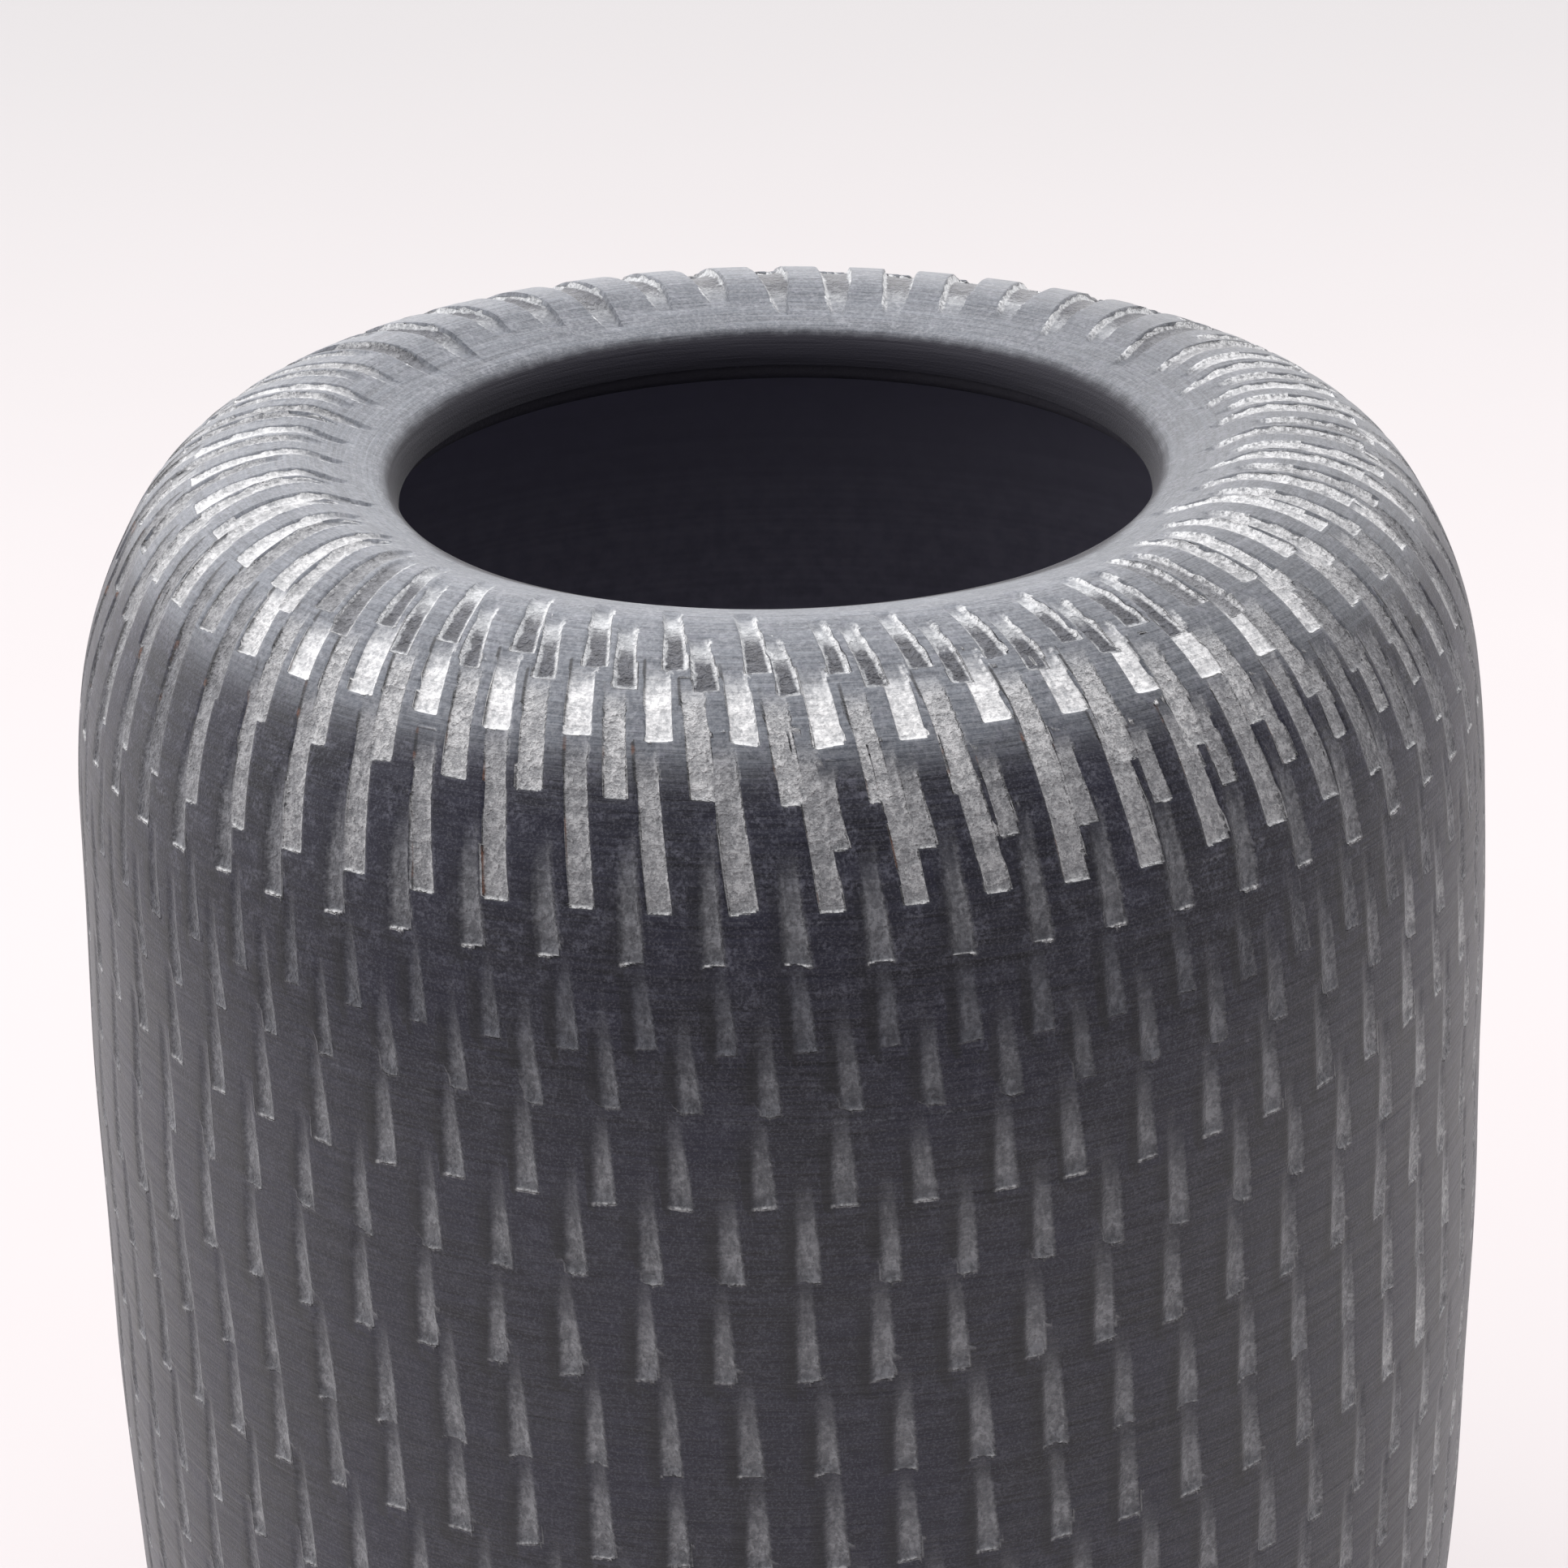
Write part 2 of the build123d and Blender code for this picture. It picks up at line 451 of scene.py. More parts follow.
def form_relief(station, angles):
    """The thrown form's slow unevenness: wobble and ridges, the crest's swell and the front's dip."""
    throwing = waves(angles, np.random.default_rng(SEED + 1), (1, 2, 3), THROWING_WOBBLE)
    throwing = throwing + THROWING_RIDGE * np.sin(station / 7.0 + angles)
    fade = smooth(2.0, 12.0, station) * smooth(2.0, 12.0, FORM_LENGTH - station)
    at_front = facing(angles, *FRONT_LIP)
    swell = CREST_SWELL * smooth(11.0, 16.0, station) * smooth(44.0, 30.0, station)
    dip = FRONT_DIP * smooth(1.5, 5.0, station) * smooth(20.0, 13.0, station)
    return throwing * fade + swell * (1 - at_front) - dip * at_front


def carved_surface():
    """Grids over the outside face: position, station and the values that its material reads, with the
    rings' stations before they bend."""
    rng = np.random.default_rng(SEED)
    rows = mark_rows()
    all_marks = [Marks(row, rng) for row in rows]
    station, angles, base = surface_grid(rows, all_marks)
    r, z, normal_r, normal_z = outside(station)
    height = np.zeros_like(station)
    stored = {name: np.tile(blank, station.shape + (1,)) for name, blank in NO_MARK.items()}
    for marks in all_marks:
        carve_row(marks, base, station, angles, r, height, stored)
    height = np.maximum(height + form_relief(station, angles), -DEEPEST_CUT)
    r = r + height * normal_r
    z = z + height * normal_z
    place = np.stack([r * np.sin(angles), -r * np.cos(angles), z], axis=-1) * MM
    return place, station, base, stored


def grid_faces(lines, columns, first=0, flip=False):
    """Quads of a closed band of rings, as vertex numbers."""
    i, j = np.meshgrid(np.arange(lines - 1), np.arange(columns), indexing="ij")
    k = (j + 1) % columns
    above = i * columns
    below = above + columns
    quads = np.stack([above + j, below + j, below + k, above + k], axis=-1)
    quads = quads.reshape(-1, 4) + first
    return quads[:, ::-1] if flip else quads


def make_mesh(name, vertices, quads):
    """A Blender object from arrays of vertices and quads."""
    mesh = bpy.data.meshes.new(name)
    mesh.vertices.add(len(vertices))
    mesh.vertices.foreach_set("co", np.ascontiguousarray(vertices, dtype=np.float32).ravel())
    mesh.loops.add(quads.size)
    mesh.loops.foreach_set("vertex_index", np.ascontiguousarray(quads, dtype=np.int32).ravel())
    mesh.polygons.add(len(quads))
    mesh.polygons.foreach_set("loop_start", np.arange(0, quads.size, 4, dtype=np.int32))
    mesh.update(calc_edges=True)
    mesh.polygons.foreach_set("use_smooth", np.ones(len(quads), dtype=bool))
    piece = bpy.data.objects.new(name, mesh)
    bpy.context.scene.collection.objects.link(piece)
    return piece


def add_values(piece, name, values):
    """Stores one value or one triple per vertex for the material."""
    vector = values.ndim == 2
    attribute = piece.data.attributes.new(name, "FLOAT_VECTOR" if vector else "FLOAT", "POINT")
    key = "vector" if vector else "value"
    attribute.data.foreach_set(key, np.ascontiguousarray(values, dtype=np.float32).ravel())


def corner_places(u_left, u_right, v_top, v_bottom):
    """Texture places of the corners of a band of quads: u per column, v per row of quads."""
    rows = len(v_top)
    columns = len(u_left)
    v_top = np.repeat(v_top, columns, axis=1)
    v_bottom = np.repeat(v_bottom, columns, axis=1)
    u_left = np.repeat(u_left[None, :], rows, axis=0)
    u_right = np.repeat(u_right[None, :], rows, axis=0)
    corners = [(u_left, v_top), (u_left, v_bottom), (u_right, v_bottom), (u_right, v_top)]
    return np.stack([np.stack(c, axis=-1) for c in corners], axis=-2).reshape(-1, 4, 2)


def bake_layout(outer_stations, inner_stations, columns):
    """Texture places of every quad's corners, in the order of the mesh's faces."""
    half = columns // 2
    j = np.arange(columns)
    upper = (j >= half).astype(int)
    left = SIDE_MARGIN + (1 - 2 * SIDE_MARGIN) * (j - upper * half) / half
    right = SIDE_MARGIN + (1 - 2 * SIDE_MARGIN) * (j + 1 - upper * half) / half
    down = (HALF_HEIGHT * outer_stations / FORM_LENGTH)[:, None]
    outer = corner_places(left, right, down[:-1], down[1:])
    outer[..., 1] += np.array(HALF_BOTTOMS)[np.tile(upper, len(down) - 1)][:, None]
    whole = (j / columns, (j + 1) / columns)
    low, high = INNER_BAND
    down = (low + (high - low) * inner_stations / FORM_LENGTH)[:, None]
    inner = corner_places(*whole, down[:-1], down[1:])[:, ::-1]
    ends = [corner_places(*whole, np.array([[v]]), np.array([[w]])) for v, w in (TOP_BAND, BOTTOM_BAND)]
    return np.concatenate([outer, inner, *ends])


def closing_quads(lines, columns, inner_lines):
    """Quads that join the outer and inner faces at the mouth and at the foot."""
    j = np.arange(columns)
    k = (j + 1) % columns
    inner = lines * columns
    top = np.stack([j, k, inner + k, inner + j], axis=-1)
    low_outer = inner - columns
    low_inner = inner + (inner_lines - 1) * columns
    bottom = np.stack([low_outer + k, low_outer + j, low_inner + j, low_inner + k], axis=-1)
    return top, bottom


def build_slip_coat():
    """The slip coat as a closed shell: the carved outside and the plain face that bonds to the clay."""
    place, station, base, stored = carved_surface()
    lines, columns = station.shape
    inner_station = np.linspace(0, FORM_LENGTH, INNER_RINGS)
    r, z, _, _ = outside(inner_station, SLIP_THICKNESS)
    angle = np.arctan2(place[:, 0, 0], -place[:, 0, 1])
    angle = np.interp(inner_station, base, np.unwrap(angle))[:, None]
    angle = angle + 2 * math.pi * np.arange(columns) / columns
    level = np.repeat(z[:, None], columns, axis=1)
    inner = np.stack([r[:, None] * np.sin(angle), -r[:, None] * np.cos(angle), level], axis=-1) * MM
    vertices = np.concatenate([place.reshape(-1, 3), inner.reshape(-1, 3)])
    outer_quads = grid_faces(lines, columns)
    inner_quads = grid_faces(INNER_RINGS, columns, lines * columns, flip=True)
    quads = np.concatenate([outer_quads, inner_quads, *closing_quads(lines, columns, INNER_RINGS)])
    piece = make_mesh("carved_slip_coat", vertices, quads)
    layout = piece.data.uv_layers.new(name="OFBake")
    corners = bake_layout(base, inner_station, columns)
    layout.data.foreach_set("uv", np.ascontiguousarray(corners, dtype=np.float32).ravel())
    add_values(piece, "along", np.concatenate([station.ravel(), np.repeat(inner_station, columns)]))
    for name, blank in NO_MARK.items():
        inner_values = np.tile(blank, (INNER_RINGS * columns, 1))
        add_values(piece, name, np.concatenate([stored[name].reshape(-1, 3), inner_values]))
    piece.data.set_sharp_from_angle(angle=SHARP_EDGE)
    return piece


class Nodes:
    """Short calls for building a material's node tree."""

    def __init__(self, name):
        self.material = bpy.data.materials.new(name)
        self.material.use_nodes = True
        self.tree = self.material.node_tree
        self.tree.nodes.clear()
        self.output = self.tree.nodes.new("ShaderNodeOutputMaterial")
        self.shader = self.tree.nodes.new("ShaderNodeBsdfPrincipled")
        self.tree.links.new(self.shader.outputs[0], self.output.inputs["Surface"])

    def put(self, socket, value):
        """Links a socket or sets its value."""
        if isinstance(value, bpy.types.NodeSocket):
            self.tree.links.new(value, socket)
        else:
            socket.default_value = value

    def set_shader(self, name, value):
        """Links or sets one of the shader's own inputs."""
        self.put(self.shader.inputs[name], value)

    def math(self, operation, a, b=0.0, c=0.0):
        node = self.tree.nodes.new("ShaderNodeMath")
        node.operation = operation
        for socket, value in zip(node.inputs, (a, b, c)):
            self.put(socket, value)
        return node.outputs[0]

    def plus(self, a, b):
        return self.math("ADD", a, b)

    def minus(self, a, b):
        return self.math("SUBTRACT", a, b)

    def times(self, first, *others):
        """The product of two or more values."""
        for other in others:
            first = self.math("MULTIPLY", first, other)
        return first

    def times_plus(self, a, b, c):
        """a times b, plus c."""
        return self.math("MULTIPLY_ADD", a, b, c)

    def step(self, value, low, high, start=0.0, end=1.0):
        """A smooth step from start to end as value goes from low to high."""
        node = self.tree.nodes.new("ShaderNodeMapRange")
        node.interpolation_type = "SMOOTHSTEP"
        self.put(node.inputs["Value"], value)
        self.put(node.inputs["From Min"], low)
        self.put(node.inputs["From Max"], high)
        self.put(node.inputs["To Min"], start)
        self.put(node.inputs["To Max"], end)
        return node.outputs["Result"]

    def attribute(self, name):
        """The value that the mesh stores under this name."""
        node = self.tree.nodes.new("ShaderNodeAttribute")
        node.attribute_name = name
        return node.outputs["Fac"]

    def attributes(self, name):
        """The three values that the mesh stores under this name."""
        node = self.tree.nodes.new("ShaderNodeAttribute")
        node.attribute_name = name
        return self.split(node.outputs["Vector"])

    def split(self, vector):
        node = self.tree.nodes.new("ShaderNodeSeparateXYZ")
        self.put(node.inputs[0], vector)
        return node.outputs[0], node.outputs[1], node.outputs[2]

    def join(self, x, y, z):
        node = self.tree.nodes.new("ShaderNodeCombineXYZ")
        for socket, value in zip(node.inputs, (x, y, z)):
            self.put(socket, value)
        return node.outputs[0]

    def place(self):
        """The point's place in metres, in the part's frame."""
        node = self.tree.nodes.new("ShaderNodeTexCoord")
        return node.outputs["Object"]

    def noise(self, vector, scale, detail=2.0, roughness=0.5):
        node = self.tree.nodes.new("ShaderNodeTexNoise")
        self.put(node.inputs["Vector"], vector)
        node.inputs["Scale"].default_value = scale
        node.inputs["Detail"].default_value = detail
        node.inputs["Roughness"].default_value = roughness
        return node.outputs["Fac"]

    def mix(self, share, a, b, blend="MIX"):
        node = self.tree.nodes.new("ShaderNodeMix")
        node.data_type = "RGBA"
        node.blend_type = blend
        self.put(node.inputs["Factor"], share)
        self.put(node.inputs["A"], a)
        self.put(node.inputs["B"], b)
        return node.outputs["Result"]

    def bump(self, height, distance, normal=None):
        """Relief of this height, up to distance in metres, over another normal if one is given."""
        node = self.tree.nodes.new("ShaderNodeBump")
        node.inputs["Strength"].default_value = 1.0
        node.inputs["Distance"].default_value = distance
        self.put(node.inputs["Height"], height)
        if normal is not None:
            self.put(node.inputs["Normal"], normal)
        return node.outputs["Normal"]


def rgb(text):
    """A linear colour with alpha from a hex colour."""
    values = [int(text[i:i + 2], 16) / 255 for i in (0, 2, 4)]
    linear = [v / 12.92 if v <= 0.04045 else ((v + 0.055) / 1.055) ** 2.4 for v in values]
    return (*linear, 1.0)


class SlipNodes(Nodes):
    """The slip's node tree, with the stored values, noises and masks that its parts share."""

    def __init__(self):
        super().__init__("dark_slip")
        point = self.place()
        self.x, self.y, _ = self.split(point)
        self.along = self.attribute("along")
        self.distance, self.reach, self.pit = self.attributes("cut")
        self.left, self.right, self.end = self.attributes("edge")
        self.tone, self.light, self.rim_highlight = self.attributes("look")
        self.tip, self.soft, self.crumbly_shade_share = self.attributes("line")
        self.narrowest = self.math("MINIMUM", self.left, self.right)

        self.streaks = self.stretched_noise(90.0, 2.6, 3.0, 0.65)
        self.wide_streaks = self.stretched_noise(30.0, 0.55, 2.0, 0.5)
        self.lengthwise = self.stretched_noise(1500.0, 0.5, 3.0, 0.6)
        self.grain = self.noise(point, 3600.0, 2.0, 0.7)
        self.speckle = self.noise(point, 2200.0, 2.0, 0.65)
        self.clouds = self.noise(point, 60.0, 3.0, 0.55)
        self.patches = self.noise(point, 420.0, 3.0, 0.6)
        self.blotches = self.step(self.noise(point, 1000.0, 2.0, 0.6), 0.38, 0.62)
        self.gaps = self.noise(point, 170.0, 2.0, 0.6)
        self.stains = self.noise(point, 300.0, 2.0, 0.6)
        self.speck = self.step(self.speckle, 0.42, 0.60)
        self.dots = self.step(self.grain, 0.48, 0.64)
        self.fray = self.edge_fray(self.noise(point, 900.0, 2.0, 0.6))

        # The shoulder, where the slip gets painted light from above.
        self.shoulder = self.step(self.times_plus(self.patches, 4.0, self.along), 44.5, 37.0)
        self.mouth_shade = self.mouth_shade_mask()
        self.near_mark = self.step(self.distance, 0.40, 0.20)
        self.near_mark = self.times(self.near_mark, self.step(self.distance, -0.9, -0.6))
        self.cut_mask = self.mark_mask()
        self.crumbs = self.times(self.crumbly_shade_share, self.step(self.light, 0.9, 0.5))

    def stretched_noise(self, round_scale, down_scale, detail, roughness):
        """Noise with its own scales round the vase, per metre, and down it, per millimetre."""
        x = self.times(self.x, round_scale)
        y = self.times(self.y, round_scale)
        return self.noise(self.join(x, y, self.times(self.along, down_scale)), 1.0, detail, roughness)

    def edge_fray(self, noise):
        """How far the marks' edges wander, in millimetres, more so where they are crumbly."""
        ragged = self.times_plus(self.crumbly_shade_share, 0.40, 0.16)
        wander = self.times(self.minus(noise, 0.5), ragged)
        return self.times_plus(self.minus(self.speckle, 0.5), 0.40, wander)

    def mouth_shade_mask(self):
        """Painted shade at the mouth's edge: further over the lip at the front, less far at the sides.
        """
        at_front = self.step(self.y, -0.020, -0.046, 0.0, -4.0)
        at_sides = self.step(self.math("ABSOLUTE", self.x), 0.036, 0.050, 0.0, 0.9)
        line = self.plus(self.plus(at_front, at_sides), self.times_plus(self.patches, 1.2, self.along))
        return self.step(line, 6.8, 4.4)

    def mark_mask(self):
        """Where the tool laid the slip bare: inside a mark, and stronger towards its end."""
        left_reach = self.times_plus(self.soft, 0.95, 0.22)
        right_reach = self.times_plus(self.soft, 0.20, 0.26)
        left_edge = self.step(self.plus(self.left, self.fray), -0.08, left_reach)
        right_edge = self.step(self.plus(self.right, self.fray), -0.08, right_reach)
        end_edge = self.step(self.plus(self.end, self.fray), -0.05, 0.10)
        inside = self.times(left_edge, right_edge, self.step(self.distance, 0.30, 0.10), end_edge)
        fade_end = self.times_plus(self.soft, 0.55, self.step(self.light, 0.6, 0.9, 0.30, 0.60))
        return self.times(inside, self.step(self.reach, 0.0, fade_end))


def painted_lit_ground(n):
    """Uncut slip over the lip and shoulder: painted pale as light from above falls on it, scratched and
    specked, with painted shade on the right.
    """
    colour = n.mix(n.step(n.streaks, 0.25, 0.75), rgb("3e424b"), rgb("646972"))
    scratches = n.times(n.step(n.lengthwise, 0.45, 0.66), n.step(n.patches, 0.40, 0.60))
    colour = n.mix(n.times(n.speck, 0.20), colour, rgb("a0a3a9"))
    colour = n.mix(n.times(scratches, 0.35), colour, rgb("a6a9ae"))
    # Painted shade over the right of the lip.
    return n.mix(n.step(n.x, 0.015, 0.055, 0.0, 0.40), colour, (0.15, 0.15, 0.16, 1.0), "MULTIPLY")


def ground_colour(n):
    """Uncut slip: brushed, clouded and mottled, with painted light over the lip and shoulder and the
    guide rings scratched in.
    """
    colour = n.mix(n.step(n.streaks, 0.32, 0.68), rgb("0b0b14"), rgb("20212e"))
    colour = n.mix(n.step(n.clouds, 0.35, 0.75, 0.0, 0.6), colour, rgb("13132a"))
    colour = n.mix(n.shoulder, colour, painted_lit_ground(n))
    colour = n.mix(n.times(n.dots, 0.25), colour, rgb("63646c"))
    mottle = n.times(n.step(n.patches, 0.46, 0.64), n.step(n.speckle, 0.40, 0.66))
    mottle = n.times(mottle, n.step(n.along, 84.0, 50.0, 0.16, 0.46))
    colour = n.mix(mottle, colour, rgb("62636f"))
    for level in GUIDE_RINGS:
        away = n.math("ABSOLUTE", n.minus(n.times_plus(n.clouds, 1.2, n.along), level + 0.6))
        ring = n.times(n.step(away, 0.24, 0.04), n.step(n.speckle, 0.35, 0.60))
        ring = n.times(ring, n.step(n.patches, 0.40, 0.70))
        colour = n.mix(n.times(ring, 0.24), colour, rgb("80828a"))
    return colour


def floor_brightness(n):
    """0 to 1: the mottled brightness of the marks' floors."""
    light = n.times_plus(n.speck, 0.30, n.times(n.tone, 0.18))
    light = n.times_plus(n.step(n.lengthwise, 0.40, 0.62), 0.30, light)
    light = n.times_plus(n.dots, n.times_plus(n.crumbs, 0.22, 0.12), light)
    light = n.times_plus(n.step(n.patches, 0.38, 0.62), 0.20, light)
    uneven = n.step(n.light, 0.5, 0.9, 0.75, 0.20)
    uneven = n.times_plus(n.minus(n.blotches, 0.4), uneven, 1.0)
    return n.times(light, uneven, n.step(n.wide_streaks, 0.30, 0.70, 0.80, 1.15))


def cut_colour(n):
    """The marks' floors, paler than the slip and partly painted light: a painted glint on the brightest
    floors, painted shade near a soft mark's end, and a painted highlight round the pits of the crest's
    marks.
    """
    brightness = floor_brightness(n)
    dark = n.mix(brightness, rgb("22232b"), rgb("50525a"))
    # Painted glint: the brightest floors are near white.
    bright = n.mix(brightness, rgb("96989c"), rgb("f6f6f7"))
    # Painted shade in the floor just before a soft mark's end.
    end_shade = n.times(n.step(n.end, 2.4, 0.9), n.times(n.soft, 0.45))
    bright = n.mix(end_shade, bright, dark)
    colour = n.mix(n.step(n.light, 0.0, 1.0), dark, bright)
    rough_edge = n.times_plus(n.fray, 1.8, n.times(n.minus(n.patches, 0.5), 1.5))
    pit = n.step(n.plus(n.math("MINIMUM", n.narrowest, n.end), rough_edge), 0.30, 0.65)
    pit = n.times(pit, n.step(n.minus(n.times_plus(n.fray, 0.8, n.reach), n.pit), 0.0, 0.25))
    # Painted highlight round the crest marks' dark pits.
    pit_highlight = n.times(n.minus(1.0, pit), n.rim_highlight, n.step(n.light, 0.15, 0.0))
    return n.mix(pit_highlight, colour, n.mix(brightness, rgb("7d8085"), rgb("c4c6c9")))


def add_shade(n, colour):
    """The shadow that a soft mark throws over the slip at its left."""
    shade = n.times(n.step(n.left, -1.9, -0.3), n.step(n.left, 0.8, 0.0))
    shade = n.times(shade, n.soft, n.step(n.reach, 0.1, 0.6), n.step(n.distance, 2.4, 1.6))
    return n.mix(n.times(shade, 0.60), colour, rgb("0c0d11"))


def add_rim_highlights(n, colour):
    """Painted highlight along the marks' right, left and end edges, where their burr and walls catch
    the light.
    """
    right = n.times(n.step(n.plus(n.right, n.fray), -0.30, -0.05), n.step(n.right, 0.70, 0.25))
    right = n.times(right, n.step(n.reach, 0.0, 0.12), n.rim_highlight)
    left = n.times(n.step(n.plus(n.left, n.fray), -0.15, 0.0), n.step(n.left, 0.45, 0.15))
    left = n.times(left, n.step(n.reach, 0.2, 0.6), n.rim_highlight, 0.6)
    end = n.times(n.step(n.plus(n.end, n.fray), -0.18, -0.02), n.step(n.end, 0.42, 0.15))
    end = n.times(end, n.step(n.narrowest, 0.0, n.times_plus(n.soft, 0.5, 0.12)), n.tip)
    rim = n.math("MAXIMUM", n.math("MAXIMUM", right, left), end)
    rim = n.times(rim, n.near_mark, n.step(n.lengthwise, 0.32, 0.56, 0.30, 1.0))
    rim = n.times(rim, n.step(n.speckle, 0.36, 0.56, 0.30, 1.0))
    # Painted highlight on the marks' edges.
    return n.mix(n.times(rim, 0.85), colour, rgb("dcdddf"))


def add_wall_shade_and_rust(n, colour):
    """Broken painted shade along the wall at the crumbly marks' left, with a little rust in it below
    the crest.
    """
    crumbly_shade = n.times(n.step(n.left, -0.25, -0.05), n.step(n.left, 0.32, 0.08))
    crumbly_shade = n.times(crumbly_shade, n.step(n.gaps, 0.36, 0.50), n.near_mark, n.crumbly_shade_share)
    colour = n.mix(n.times(crumbly_shade, 0.8), colour, rgb("131318"))
    rust = n.times(crumbly_shade, n.step(n.stains, 0.52, 0.64), n.step(n.along, 34.0, 40.0))
    return n.mix(n.times(rust, 0.45), colour, rgb("8c5a42"))


def add_shine(n):
    """Roughness, shine and sheen: duller between shoulder and belly and inside the mouth."""
    rough = n.times_plus(n.streaks, 0.20, 0.40)
    rough = n.times_plus(n.cut_mask, -0.06, rough)
    n.set_shader("Roughness", n.times_plus(n.shoulder, -0.04, rough))
    dry = n.times(n.step(n.along, 37.0, 46.0), n.step(n.along, 92.0, 66.0))
    shine = n.times_plus(dry, -0.18, 0.40)
    shine = n.times_plus(n.step(n.streaks, 0.32, 0.68), 0.06, shine)
    n.set_shader("Specular IOR Level", n.times(shine, n.minus(1.0, n.times(n.mouth_shade, 0.85))))
    n.set_shader("Sheen Weight", 0.16)
    n.set_shader("Sheen Roughness", 0.5)


def add_grain(n):
    """Fine relief: brush streaks and grain, rougher on the marks' floors."""
    normal = n.bump(n.streaks, 0.00010)
    normal = n.bump(n.wide_streaks, 0.00025, normal)
    normal = n.bump(n.grain, 0.00006, normal)
    rough = n.times(n.cut_mask, n.step(n.light, 0.5, 0.9, 1.0, 0.45))
    normal = n.bump(n.times(n.speckle, rough), 0.00024, normal)
    normal = n.bump(n.times(n.blotches, rough), 0.00010, normal)
    normal = n.bump(n.times(n.grain, rough, n.crumbs), 0.00014, normal)
    n.set_shader("Normal", normal)


def slip_material():
    """Dark brushed slip, lighter and grainy where the tool cut it, with painted light and shade over
    the shoulder, the marks and the mouth's edge.
    """
    n = SlipNodes()
    colour = n.mix(n.cut_mask, ground_colour(n), cut_colour(n))
    colour = add_shade(n, colour)
    colour = add_rim_highlights(n, colour)
    colour = add_wall_shade_and_rust(n, colour)
    # Painted shade: the slip at the mouth's edge is dark.
    n.set_shader("Base Color", n.mix(n.mouth_shade, colour, rgb("24232b")))
    add_shine(n)
    add_grain(n)
    return n.material


def clay_material():
    """Bare fired clay of the lip's end and the foot, darker in the mouth and rubbed under the foot."""
    n = Nodes("fired_clay")
    point = n.place()
    _, _, z = n.split(point)
    grit = n.noise(point, 1800.0, 3.0, 0.65)
    clouds = n.noise(point, 90.0, 3.0, 0.55)
    colour = n.mix(n.step(grit, 0.3, 0.7), rgb("5f5c5a"), rgb("8c8782"))
    colour = n.mix(n.step(clouds, 0.35, 0.7, 0.0, 0.6), colour, rgb("6f6a67"))
    colour = n.mix(n.step(z, 0.2, 0.22), colour, rgb("45434c"))
    rubbed = n.times(n.step(z, FOOT_WEAR_HEIGHT, 0.0), n.step(clouds, 0.30, 0.60, 0.5, 1.0))
    n.set_shader("Base Color", n.mix(n.times(rubbed, 0.6), colour, rgb("a49e97")))
    n.set_shader("Roughness", n.times_plus(rubbed, -0.25, n.times_plus(grit, 0.2, 0.7)))
    n.set_shader("Normal", n.bump(grit, 0.00015))
    return n.material


def glaze_material():
    """Matt grey-violet glaze with faint throwing rings, with painted light making it paler up the wall,
    and thin at the lip.
    """
    n = Nodes("liner_glaze")
    point = n.place()
    _, _, z = n.split(point)
    rings = n.noise(n.join(0.0, 0.0, n.times(z, 240.0)), 1.0, 2.0, 0.5)
    mottle = n.noise(point, 400.0, 3.0, 0.6)
    colour = n.mix(n.step(mottle, 0.3, 0.7), rgb("6f6d7c"), rgb("7d7b8a"))
    # Painted light on the upper wall: the glaze is paler there.
    colour = n.mix(n.step(z, 0.195, 0.235, 0.0, 0.85), colour, rgb("9c9aaa"))
    thinned = n.times(n.step(z, GLAZE_WEAR_START, CREST_HEIGHT * MM), n.step(mottle, 0.35, 0.65))
    n.set_shader("Base Color", n.mix(n.times(thinned, 0.4), colour, rgb("948c8c")))
    n.set_shader("Roughness", n.times_plus(mottle, 0.2, 0.5))
    n.set_shader("Normal", n.bump(rings, 0.0006))
    return n.material


def floor_material():
    """Pale floor, with painted shade darkening it towards the back. From below it is see-through, so
    that the foot can be looked at.
    """
    n = Nodes("floor")
    point = n.place()
    mottle = n.noise(point, 6.0, 3.0, 0.5)
    # Painted shade: the floor darkens towards the back.
    far = n.step(n.split(point)[1], 0.2, 1.5)
    pale = n.mix(mottle, rgb("bcb7b8"), rgb("c0bbbc"))
    n.set_shader("Base Color", n.mix(far, pale, rgb("a8a6a7")))
    n.set_shader("Roughness", 0.8)
    clear = n.tree.nodes.new("ShaderNodeBsdfTransparent")
    choice = n.tree.nodes.new("ShaderNodeMixShader")
    n.put(choice.inputs[0], n.tree.nodes.new("ShaderNodeNewGeometry").outputs["Backfacing"])
    n.put(choice.inputs[1], n.shader.outputs[0])
    n.put(choice.inputs[2], clear.outputs[0])
    n.put(n.output.inputs["Surface"], choice.outputs[0])
    return n.material


def set_material(piece, material):
    piece.data.materials.clear()
    piece.data.materials.append(material)


def add_stage():
    """A plain pale floor, open under the foot, where the vase covers it."""
    angle = 2 * math.pi * np.arange(FLOOR_SEGMENTS) / FLOOR_SEGMENTS
    circle = np.stack([np.sin(angle), -np.cos(angle), np.zeros_like(angle)], axis=-1)
    rings = np.concatenate([circle * FLOOR_OPENING, circle * FLOOR_RADIUS])
    rings[:, 2] = -FLOOR_GAP
    floor = make_mesh("floor", rings, grid_faces(2, FLOOR_SEGMENTS))
    set_material(floor, floor_material())


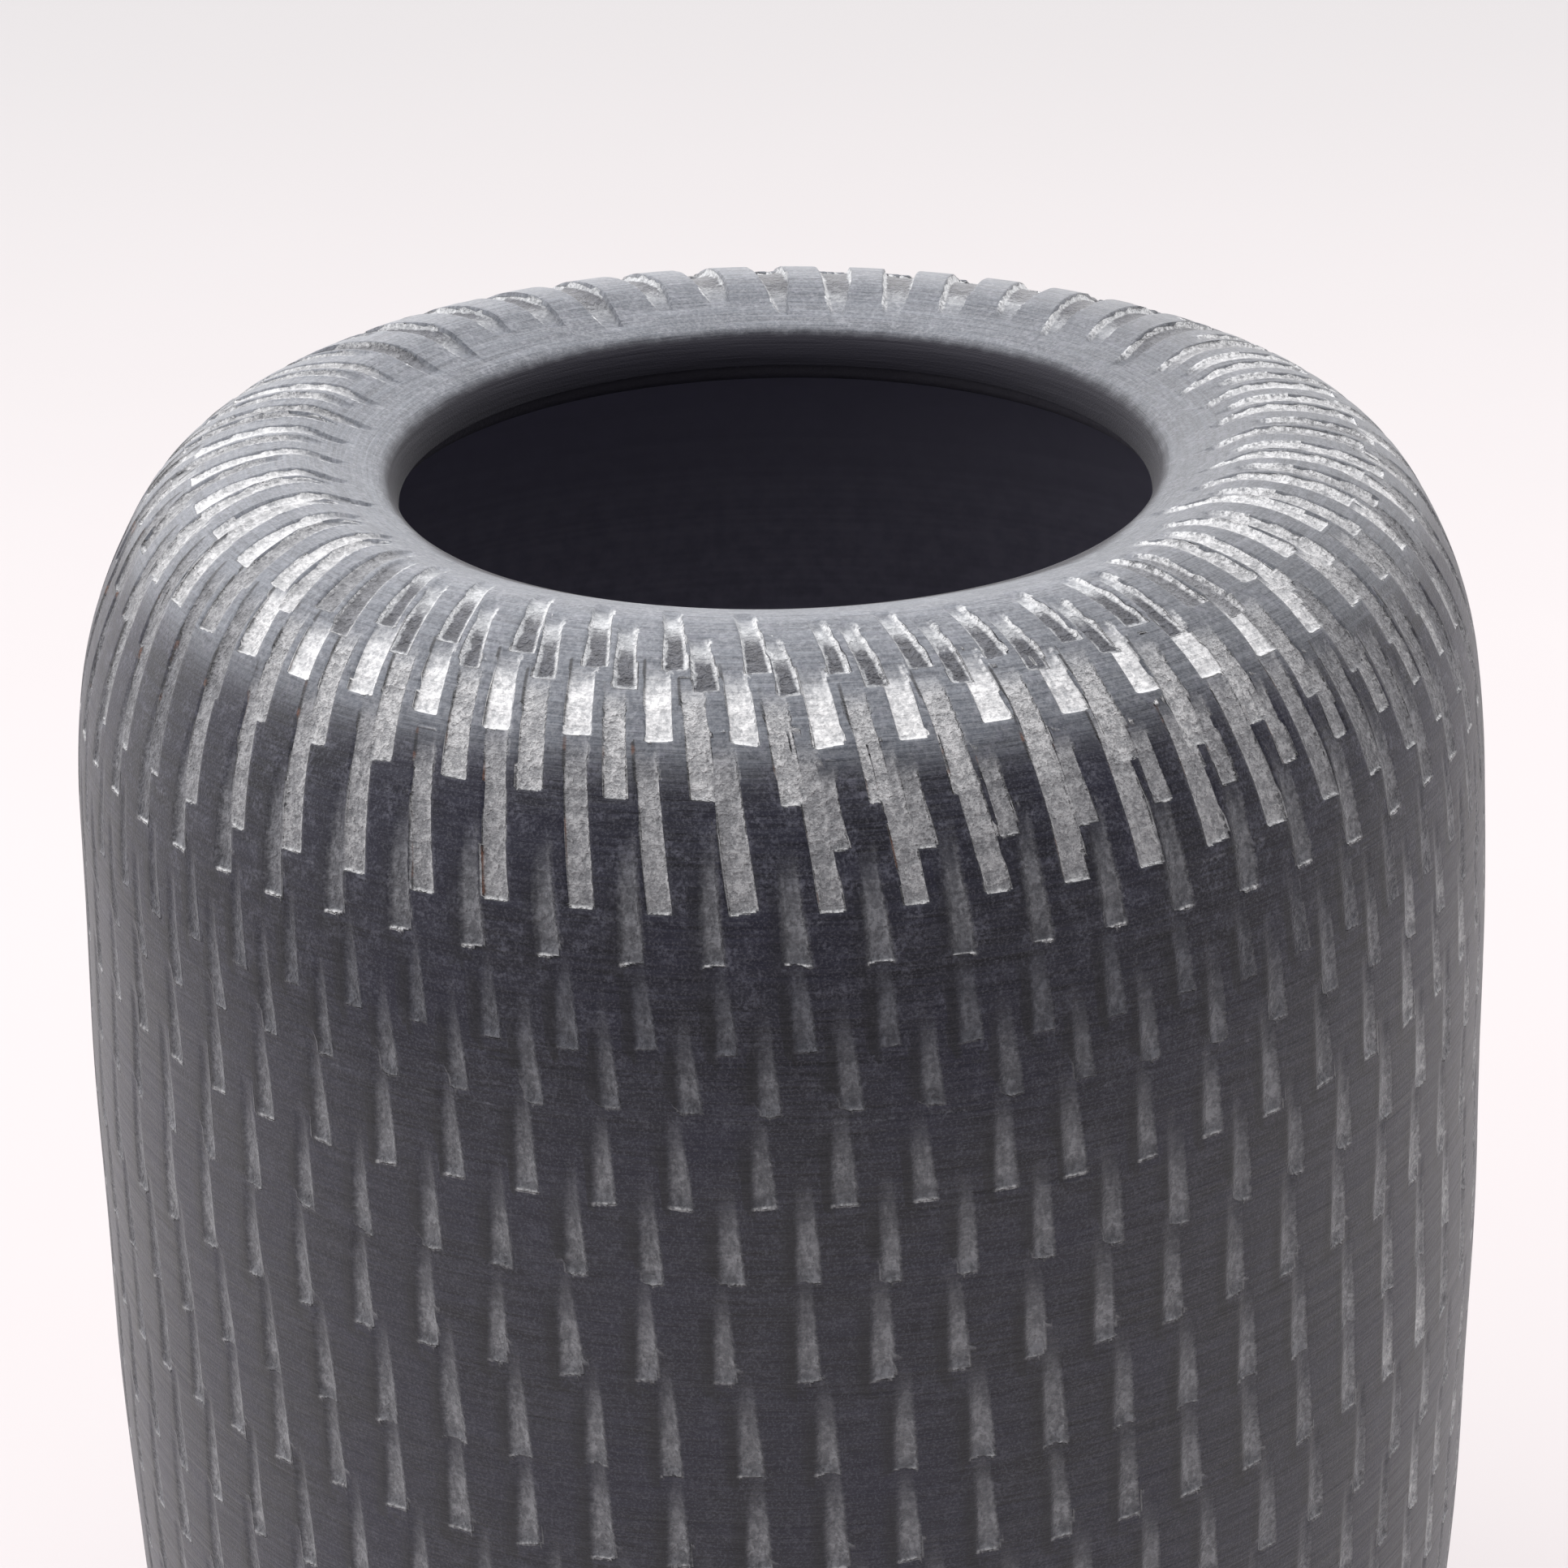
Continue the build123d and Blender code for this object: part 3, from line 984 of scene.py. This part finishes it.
def world_light(tree, toward, low, high, dimmest, brightest):
    """One soft light of the surroundings, as a smooth ramp over the angle to its direction."""
    dot = tree.nodes.new("ShaderNodeVectorMath")
    dot.operation = "DOT_PRODUCT"
    tree.links.new(tree.nodes.new("ShaderNodeTexCoord").outputs["Generated"], dot.inputs[0])
    dot.inputs[1].default_value = Vector(toward).normalized()
    ramp = tree.nodes.new("ShaderNodeMapRange")
    ramp.interpolation_type = "SMOOTHSTEP"
    tree.links.new(dot.outputs["Value"], ramp.inputs["Value"])
    ramp.inputs["From Min"].default_value = low
    ramp.inputs["From Max"].default_value = high
    ramp.inputs["To Min"].default_value = dimmest
    ramp.inputs["To Max"].default_value = brightest
    return ramp.outputs["Result"]


def add_world():
    """Soft room light: dim behind the camera, brighter behind the vase and on its left, with a broad
    low window behind it, and a plain background where the camera looks past the floor."""
    world = bpy.data.worlds.new("studio")
    bpy.context.scene.world = world
    world.use_nodes = True
    tree = world.node_tree
    first, *others = [world_light(tree, *light) for light in WORLD_LIGHTS]
    total = first
    for other in others:
        add = tree.nodes.new("ShaderNodeMath")
        tree.links.new(total, add.inputs[0])
        tree.links.new(other, add.inputs[1])
        total = add.outputs[0]
    seen = tree.nodes.new("ShaderNodeMapRange")
    tree.links.new(tree.nodes.new("ShaderNodeLightPath").outputs["Is Camera Ray"], seen.inputs["Value"])
    tree.links.new(total, seen.inputs["To Min"])
    seen.inputs["To Max"].default_value = SEEN_BACKGROUND
    background = tree.nodes["Background"]
    tree.links.new(seen.outputs["Result"], background.inputs["Strength"])
    background.inputs["Color"].default_value = LIGHT_COLOUR


def add_camera():
    """The camera in front, above the mouth and looking down into it."""
    radius = BELLY_RADIUS * MM
    right, back, up = CAMERA_PLACE
    data = bpy.data.cameras.new("camera")
    data.sensor_width = 36.0
    data.lens = CAMERA_LENS
    data.clip_start = 0.01
    camera = bpy.data.objects.new("camera", data)
    camera.location = (right * radius, back * radius, CREST_HEIGHT * MM + up * radius)
    tilt = Matrix.Rotation(math.radians(90.0 - CAMERA_PITCH), 4, "X")
    roll = Matrix.Rotation(math.radians(CAMERA_ROLL), 4, "Z")
    camera.rotation_mode = "QUATERNION"
    camera.rotation_quaternion = (tilt @ roll).to_quaternion()
    bpy.context.scene.collection.objects.link(camera)
    bpy.context.scene.camera = camera


slip = build_slip_coat()
set_material(slip, slip_material())
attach(slip, "root")
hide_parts("slip_coat")
set_material(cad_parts["stoneware_body"], clay_material())
set_material(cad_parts["liner_glaze"], glaze_material())

add_stage()
add_world()
add_camera()
bpy.context.scene.view_settings.view_transform = "Standard"
